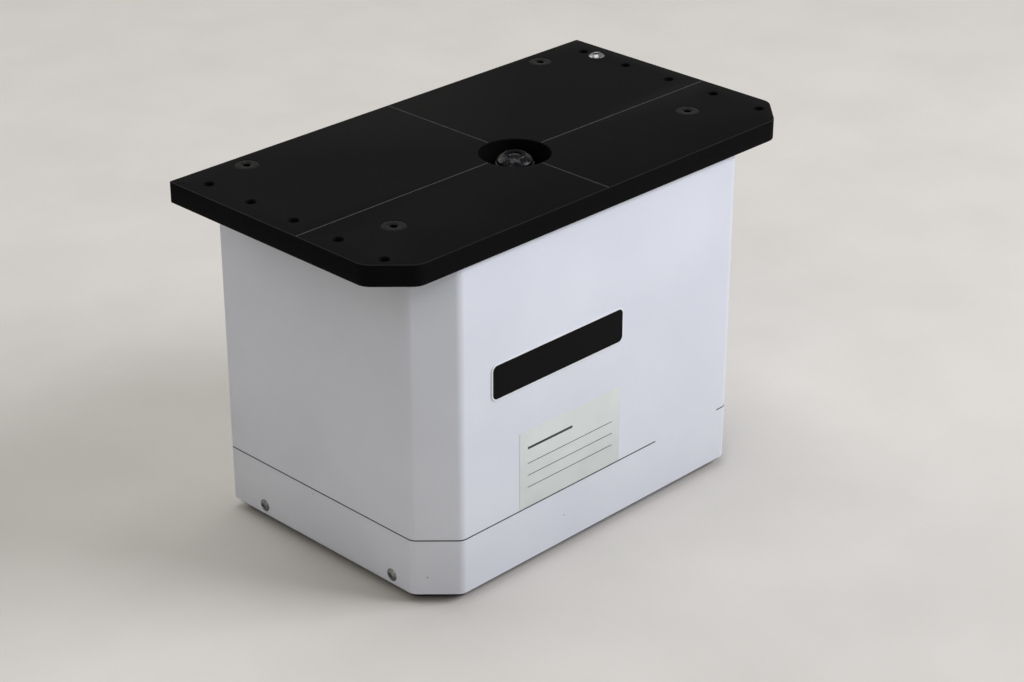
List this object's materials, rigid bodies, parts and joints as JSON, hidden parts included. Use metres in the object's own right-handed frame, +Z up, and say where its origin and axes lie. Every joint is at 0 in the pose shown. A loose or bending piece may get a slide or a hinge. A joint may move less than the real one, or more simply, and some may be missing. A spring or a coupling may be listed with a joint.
{
  "type": "inverted fluorescence microscope",
  "caption": "Compact bench-top inverted fluorescence microscope: white sheet-metal housing under a wide black stage plate with an objective opening, and a side focus knob.",
  "frame": {"origin": "on the bench, under the middle of the stage plate", "axes": "+X to the right along the stage's long edge, +Y to the back, +Z up"},
  "size_m": [0.235, 0.128, 0.1583],
  "materials": {
    "black_anodised": "black anodised plate, matt",
    "white_powder_coat": "white powder coat, fine satin texture",
    "stainless": "bright stainless steel",
    "black_oxide": "black oxide steel",
    "plain_aluminium": "machined aluminium",
    "foot_rubber": "black rubber",
    "name_film": "black printed film with a pale border",
    "label_paper": "pale coated paper",
    "ground_steel": "ground steel",
    "bronze": "sintered bronze and brass",
    "knob_plastic": "black moulded plastic",
    "objective_chrome": "satin chrome",
    "optical_glass": "polished optical glass",
    "filter_glass": "coated filter glass",
    "mirror_glass": "front-surface mirror",
    "circuit_board": "green solder mask",
    "led_circuit_board": "white metal-core board",
    "chip_plastic": "black moulded epoxy",
    "lead_jacket": "black vinyl jacket"
  },
  "bodies": {
    "chassis": {"stage_plate": "black_anodised", "stage_screws": "black_oxide", "corner_screw": "stainless", "wrap_cover": "white_powder_coat", "cover_screws": "stainless", "rear_panel": "white_powder_coat", "rear_screws": "stainless", "base_plate": "black_anodised", "pillars": "plain_aluminium", "pillar_screws": "black_oxide", "rubber_feet": "foot_rubber", "name_plate": "name_film", "paper_label": "label_paper", "focus_column": "plain_aluminium", "column_screws": "black_oxide", "guide_rods": "ground_steel", "gear_bracket": "plain_aluminium", "bracket_screws": "black_oxide", "bracket_bushes": "bronze", "wall_bush": "bronze", "filter_block": "black_anodised", "optic_lids": "black_anodised", "lid_screws": "stainless", "dichroic_mirror": "filter_glass", "excitation_filter": "filter_glass", "emission_filter": "filter_glass", "led_mount": "plain_aluminium", "led_board": "led_circuit_board", "led_screws": "stainless", "heat_sink": "plain_aluminium", "collimator_tube": "black_anodised", "collimator_lens": "optical_glass", "tube_lens_cell": "black_anodised", "tube_lens": "optical_glass", "mirror_housing": "black_anodised", "fold_mirror": "mirror_glass", "camera_body": "black_anodised", "sensor_board": "circuit_board", "optic_base_screws": "black_oxide", "control_board": "circuit_board", "board_chips": "chip_plastic", "board_standoffs": "ground_steel", "usb_socket": "stainless", "led_cable": "lead_jacket", "camera_cable": "lead_jacket"},
    "carriage": {"focus_carriage": "plain_aluminium", "carriage_bushes": "bronze", "focus_rack": "ground_steel", "rack_screws": "black_oxide", "objective_barrel": "objective_chrome", "objective_grip": "black_anodised", "objective_nose": "objective_chrome", "objective_lens": "optical_glass"},
    "drive": {"drive_shaft": "ground_steel", "rack_pinion": "bronze", "reduction_gear": "bronze"},
    "knob": {"knob_shaft": "ground_steel", "knob_pinion": "ground_steel", "focus_knob": "knob_plastic", "knob_screw": "black_oxide"}
  },
  "joints": [
    {"name": "focus_slide", "type": "slide", "parent": "chassis", "child": "carriage", "axis": [0, 0, 1], "range_m": [-0.007, 0.003]},
    {"name": "drive_turn", "type": "hinge", "parent": "chassis", "child": "drive", "pos_m": [0.052, 0.01003, 0.109], "axis": [1, 0, 0], "range_deg": [-92, 40]},
    {"name": "knob_turn", "type": "hinge", "parent": "chassis", "child": "knob", "pos_m": [0.094, 0.01003, 0.089], "axis": [1, 0, 0], "range_deg": [-155, 360]}
  ],
  "couplings": [
    {"joint": "drive_turn", "follows": "focus_slide", "rad_per_m": 222.22},
    {"joint": "knob_turn", "follows": "focus_slide", "rad_per_m": -888.89}
  ]
}
